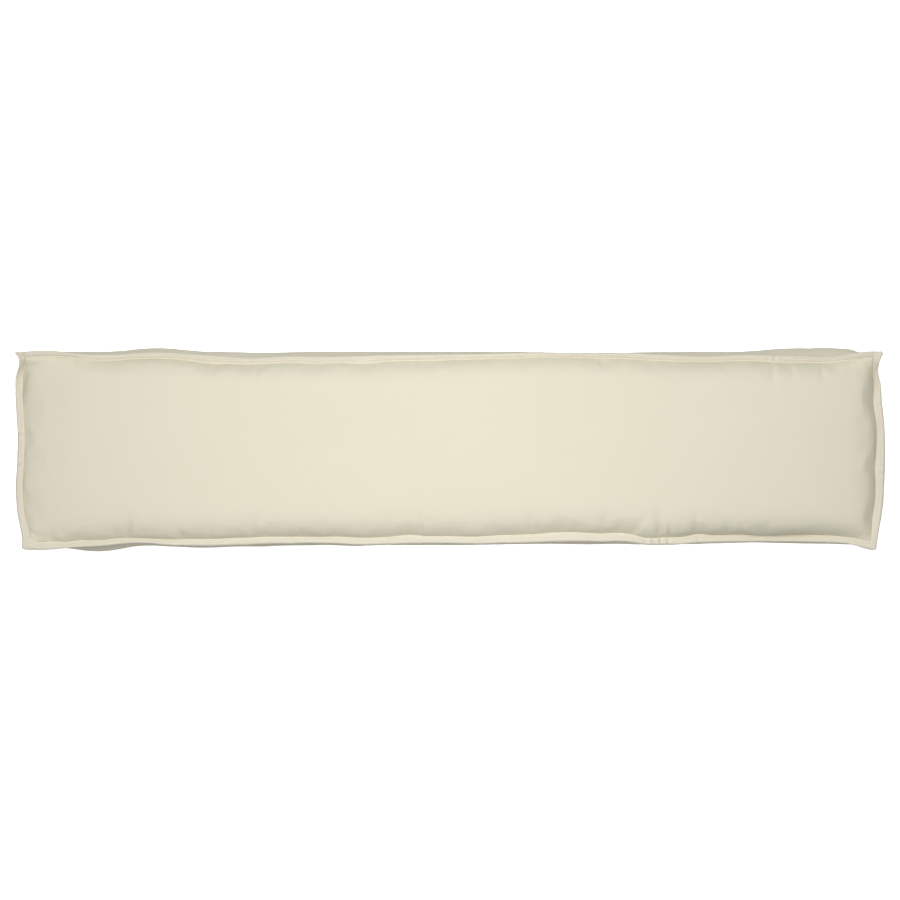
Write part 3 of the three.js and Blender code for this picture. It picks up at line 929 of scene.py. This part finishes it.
def strip_loop(face, side, along, share, above):
    """A line of points along a strip, at a share of its width and a height above its middle."""
    narrowing = np.ones_like(along)
    lap = 0
    if side in ("left", "right"):
        half = SEAM_HALF[1]
        reach = half + FLANGE_WIDTH["long"]
        closing = np.clip((np.abs(along) - reach + END_ROUNDING) / END_ROUNDING, 0, 1)
        narrowing = np.sqrt(1 - END_CLOSING * closing ** 2)
        lap = LAP_LIFT * hump(np.maximum(half - np.abs(along), 0), LAP_REACH)
    shares = 0.5 + (share - 0.5) * narrowing
    plan, seam_x, seam_y = strip_point(face, side, along, shares)
    ripple = FLANGE_RIPPLE * noise_line(along + RIPPLE_SHIFT[side], FLANGE_RIPPLE_PITCH, RIPPLE_ROW)
    outward = np.clip(shares, 0, 1) ** 2
    if face == "front":
        lift = summed_waves(FLANGE_LIFTS[side], along)
        pleat_heights = summed_waves(FLANGE_PLEATS[side], along)
        pleats = pleat_heights * np.sin(2 * math.pi * along / PLEAT_PITCH)
        height = front_seam_height(seam_x, seam_y) + lap + (FLANGE_RISE + lift + ripple) * outward
        height += pleats * np.clip(shares / PLEAT_RISE, 0, 1)
    else:
        height = BACK_SEAM - lap - (FLANGE_RISE + ripple) * outward
    return np.stack([plan[:, 0], plan[:, 1], height + above * np.sqrt(narrowing)], axis=-1)


def strip_stations(side):
    if side in ("left", "right"):
        return graded_lines(SEAM_HALF[1] + FLANGE_WIDTH["long"], *FLANGE_STEPS)
    return graded_lines(SEAM_HALF[0] + FLANGE_WIDTH["end"] - LAPPED_END, *FLANGE_STEPS)


def sew_flange(name, face):
    """Four closed strips in one mesh, each a tube of section loops with its ends shut."""
    facing = 1 if face == "front" else -1
    upper = [(share, facing * middle + half) for share, middle, half in FLANGE_SECTION]
    lower = [(share, facing * middle - half) for share, middle, half in FLANGE_SECTION[-2::-1]]
    section = upper + lower
    points, faces, start = [], [], 0
    for side in ("top", "bottom", "left", "right"):
        along = strip_stations(side)
        loops = [strip_loop(face, side, along, share, above) for share, above in section]
        points += loops
        count = len(along)
        shells = []
        for row in range(len(section)):
            here, there = start + row * count, start + (row + 1) % len(section) * count
            shells += [(here + k, here + k + 1, there + k + 1, there + k) for k in range(count - 1)]
        shells.append(tuple(start + row * count for row in range(len(section))))
        shells.append(tuple(start + row * count + count - 1 for row in range(len(section)))[::-1])
        if side in ("bottom", "right"):
            shells = [corners[::-1] for corners in shells]
        faces += shells
        start += len(section) * count
    return new_piece(name, np.concatenate(points), faces)


flange_cloth = plain_cloth(
    "flange_cloth", colour=(0.792, 0.738, 0.613), shade=(0.758, 0.701, 0.578))
for face in ("front", "back"):
    flange = sew_flange(f"{face}_sewn_flange", face)
    flange.data.materials.append(flange_cloth)
    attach(flange, "root")
    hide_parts(f"{face}_flange")


# The topstitching: cream thread in the groove of every strip, on its upper and its lower side. Each
# stitch is a short bow of thread that dives into the cloth at both ends.
STITCH_PITCH = 0.0038
STITCH_LENGTH = 0.0032
THREAD_THICKNESS = 0.00055
STITCH_HEIGHT = 0.00050
STITCH_TILT = 0.07
STITCH_SEED = 5
STITCH_PARTS = 4
THREAD_SIDES = 6
UNSTITCHED_END = 0.0060
BESIDE_GROOVE = GROOVE_SHARE + 0.05


def groove_line(face, side, upward):
    """Points along a strip's groove, and the direction square to the cloth at each of them."""
    half = SEAM_HALF[1] + FLANGE_WIDTH["long"] if side in ("left", "right") else SEAM_HALF[0]
    along = strip_stations(side)
    along = along[np.abs(along) < half - UNSTITCHED_END]
    middle, thickness = next(row[1:] for row in FLANGE_SECTION if row[0] == GROOVE_SHARE)
    above = (1 if face == "front" else -1) * middle + upward * thickness
    line = strip_loop(face, side, along, GROOVE_SHARE, above)
    beside = strip_loop(face, side, along, BESIDE_GROOVE, above)
    square = np.cross(np.gradient(line, axis=0), beside - line)
    square *= upward * np.sign(square[:, 2:]) / np.linalg.norm(square, axis=1, keepdims=True)
    return line, square


# The sockets of a Random Value node that draws plain numbers.
LEAST, MOST, DRAWN_NUMBER = 2, 3, 1


def stitching_tree(material):
    """Geometry nodes that lay a stitch at every pitch along the edges of a mesh."""
    tree = bpy.data.node_groups.new("topstitching", "GeometryNodeTree")
    interface = tree.interface
    interface.new_socket("Line", in_out="INPUT", socket_type="NodeSocketGeometry")
    for name in ("Pitch", "Length", "Thickness", "Height", "Tilt"):
        interface.new_socket(name, in_out="INPUT", socket_type="NodeSocketFloat")
    interface.new_socket("Seed", in_out="INPUT", socket_type="NodeSocketInt")
    interface.new_socket("Stitches", in_out="OUTPUT", socket_type="NodeSocketGeometry")
    given = tree.nodes.new("NodeGroupInput")

    def size(name):
        return Wire(tree, given.outputs[name])

    start = Wire(tree)
    path = start.node("GeometryNodeMeshToCurve", inputs={"Mesh": size("Line")})
    path = start.node("GeometryNodeResampleCurve", {"mode": "LENGTH"},
                      {"Curve": path, "Length": size("Pitch")})
    half_length = size("Length") * 0.5
    sunk = 0 - size("Thickness")
    low_end = start.node("ShaderNodeCombineXYZ", inputs={"X": 0 - half_length, "Z": sunk})
    high_end = start.node("ShaderNodeCombineXYZ", inputs={"X": half_length, "Z": sunk})
    top = start.node("ShaderNodeCombineXYZ", inputs={"Z": size("Height") * 2.0})
    bow = start.node("GeometryNodeCurveQuadraticBezier",
                     inputs={"Resolution": STITCH_PARTS,
                             "Start": low_end, "Middle": top, "End": high_end})
    ring = start.node("GeometryNodeCurvePrimitiveCircle",
                      inputs={"Resolution": THREAD_SIDES, "Radius": size("Thickness") * 0.5})
    stitch = start.node("GeometryNodeCurveToMesh",
                        inputs={"Curve": bow, "Profile Curve": ring, "Fill Caps": True})
    tangent = start.node("GeometryNodeInputTangent")
    square = start.node("GeometryNodeInputNamedAttribute", {"data_type": "FLOAT_VECTOR"},
                        {"Name": "square"})
    turned = start.node("FunctionNodeAlignRotationToVector", {"axis": "X"}, {"Vector": tangent})
    turned = start.node("FunctionNodeAlignRotationToVector", {"axis": "Z", "pivot_axis": "X"},
                        {"Rotation": turned, "Vector": square})
    tilt = start.node(
        "FunctionNodeRandomValue", {"data_type": "FLOAT"},
        {LEAST: 0 - size("Tilt"), MOST: size("Tilt"), "Seed": size("Seed")}, output=DRAWN_NUMBER)
    twist = start.node("FunctionNodeEulerToRotation", inputs={
        "Euler": start.node("ShaderNodeCombineXYZ", inputs={"Z": tilt})})
    turned = start.node("FunctionNodeRotateRotation", {"rotation_space": "LOCAL"},
                        {"Rotation": turned, "Rotate By": twist})
    stitches = start.node("GeometryNodeInstanceOnPoints",
                          inputs={"Points": path, "Instance": stitch, "Rotation": turned})
    stitches = start.node("GeometryNodeRealizeInstances", inputs={"Geometry": stitches})
    stitches = start.node("GeometryNodeSetShadeSmooth", inputs={"Geometry": stitches})
    stitches = start.node("GeometryNodeSetMaterial",
                          inputs={"Geometry": stitches, "Material": material})
    tree.links.new(stitches.socket, tree.nodes.new("NodeGroupOutput").inputs["Stitches"])
    return tree


def topstitch(name, face, tree):
    """The stitches of one flange as a plain mesh."""
    lines = [groove_line(face, side, upward)
             for side in ("top", "bottom", "left", "right") for upward in (1, -1)]
    edges, start = [], 0
    for line, _ in lines:
        edges += [(start + k, start + k + 1) for k in range(len(line) - 1)]
        start += len(line)
    guide = bpy.data.meshes.new(name)
    guide.from_pydata([tuple(point) for line, _ in lines for point in line], edges, [])
    mark_points(guide, "square", np.concatenate([square for _, square in lines]))
    piece = placed(name, guide)
    modifier = piece.modifiers.new("topstitching", "NODES")
    modifier.node_group = tree
    sizes = {
        "Pitch": STITCH_PITCH, "Length": STITCH_LENGTH, "Thickness": THREAD_THICKNESS,
        "Height": STITCH_HEIGHT, "Tilt": STITCH_TILT, "Seed": STITCH_SEED,
    }
    for socket in tree.interface.items_tree:
        if socket.name in sizes:
            modifier[socket.identifier] = sizes[socket.name]
    bake(piece, modifier)
    return piece


# The thread's look: how fine its ply and its drift of colour are, the tone of its dark parts, how far
# the ply stands out, and its finish.
PLY_SCALE = 900.0
THREAD_DRIFT_SCALE = 60.0
THREAD_SHADE = 0.86
PLY_HEIGHT = 0.00008
THREAD_ROUGHNESS = 0.75
ROUGHNESS_DRIFT = 0.1
THREAD_SHINE = 0.3


def twisted_thread(name, colour):
    """Matt thread: its ply shows as fine slanting bands, and its colour drifts along the seam."""
    material = bpy.data.materials.new(name)
    material.use_nodes = True
    tree = material.node_tree
    surface = tree.nodes["Principled BSDF"]
    start = Wire(tree)
    place = start.node("ShaderNodeTexCoord", output="Object")
    ply = start.node("ShaderNodeTexWave", {"wave_type": "BANDS", "bands_direction": "DIAGONAL"},
                     {"Vector": place, "Scale": PLY_SCALE, "Distortion": 1.0}, output="Fac")
    drift = start.node("ShaderNodeTexNoise", inputs={"Vector": place, "Scale": THREAD_DRIFT_SCALE})
    dark = tuple(channel * THREAD_SHADE for channel in colour)
    blended = start.node(
        "ShaderNodeMix", {"data_type": "RGBA"},
        {"Factor": 0.5 * ply + 0.5 * drift, FIRST_COLOUR: (*dark, 1), SECOND_COLOUR: (*colour, 1)},
        output=BLENDED)
    bump = start.node("ShaderNodeBump", inputs={"Distance": PLY_HEIGHT, "Height": ply})
    tree.links.new(blended.socket, surface.inputs["Base Color"])
    tree.links.new((THREAD_ROUGHNESS - ROUGHNESS_DRIFT * drift).socket, surface.inputs["Roughness"])
    tree.links.new(bump.socket, surface.inputs["Normal"])
    surface.inputs["Specular IOR Level"].default_value = THREAD_SHINE
    return material


stitching = stitching_tree(twisted_thread("sewing_thread", colour=(0.80, 0.76, 0.62)))
for face in ("front", "back"):
    thread = topstitch(f"{face}_topstitch", face, stitching)
    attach(thread, "root")


# The floor and the light: a white table top that glows, a large soft light from the far upper side, a
# small one close above the middle, and a dim surround. The floor's mesh throws no light back itself.
# The lower half of the surround, which is brighter, stands in for it.
FLOOR_HALF = 15.0
FLOOR_HEIGHT = -0.0005
FLOOR_COLOUR = (0.9, 0.9, 0.9, 1)
FLOOR_ROUGHNESS = 0.9
FLOOR_GLOW = 0.85
WHITE = (1, 1, 1, 1)
SURROUND = 0.26
TABLE_GLOW = 0.80
KEY_PLACE = (-0.16, 0.72, 4.1)
KEY_SIZE = 1.6
KEY_POWER = 92.0
KEY_COLOUR = (1.0, 1.0, 1.0)
OVERHEAD_PLACE = (-0.02, 0.02, 1.00)
OVERHEAD_SIZE = 0.30
OVERHEAD_POWER = 2.6
OVERHEAD_COLOUR = (0.93, 0.98, 1.0)

floor_mesh = bpy.data.meshes.new("floor")
floor_mesh.from_pydata(
    [(side_x * FLOOR_HALF, side_y * FLOOR_HALF, FLOOR_HEIGHT)
     for side_x, side_y in ((-1, -1), (1, -1), (1, 1), (-1, 1))],
    [], [(0, 1, 2, 3)])
floor = placed("floor", floor_mesh)
floor_paint = bpy.data.materials.new("floor_paint")
floor_paint.use_nodes = True
floor_surface = floor_paint.node_tree.nodes["Principled BSDF"]
floor_surface.inputs["Base Color"].default_value = FLOOR_COLOUR
floor_surface.inputs["Roughness"].default_value = FLOOR_ROUGHNESS
floor_surface.inputs["Emission Color"].default_value = WHITE
floor_surface.inputs["Emission Strength"].default_value = FLOOR_GLOW
floor.data.materials.append(floor_paint)
floor.visible_diffuse = False
floor.visible_glossy = False

world = bpy.data.worlds.new("surround")
world.use_nodes = True
sky = Wire(world.node_tree)
direction = sky.node("ShaderNodeTexCoord", output="Generated")
upward = sky.node("ShaderNodeSeparateXYZ", inputs={"Vector": direction}, output="Z")
below = sky.math("LESS_THAN", upward, 0.0)
world.node_tree.links.new(
    (SURROUND + (TABLE_GLOW - SURROUND) * below).socket,
    world.node_tree.nodes["Background"].inputs["Strength"])
world.node_tree.nodes["Background"].inputs["Color"].default_value = WHITE
bpy.context.scene.world = world


def soft_light(name, place, size, power, colour):
    """A square lamp that faces the middle of the cushion."""
    lamp = bpy.data.lights.new(name, "AREA")
    lamp.color = colour
    lamp.shape = "SQUARE"
    lamp.size = size
    lamp.energy = power
    holder = placed(name, lamp)
    holder.location = place
    holder.rotation_euler = (
        -math.atan2(place[1], place[2]), math.atan2(place[0], math.hypot(place[1], place[2])), 0)
    holder.visible_camera = False


soft_light("key_light", KEY_PLACE, KEY_SIZE, KEY_POWER, KEY_COLOUR)
soft_light("overhead_light", OVERHEAD_PLACE, OVERHEAD_SIZE, OVERHEAD_POWER, OVERHEAD_COLOUR)
bpy.context.scene.view_settings.view_transform = "Standard"
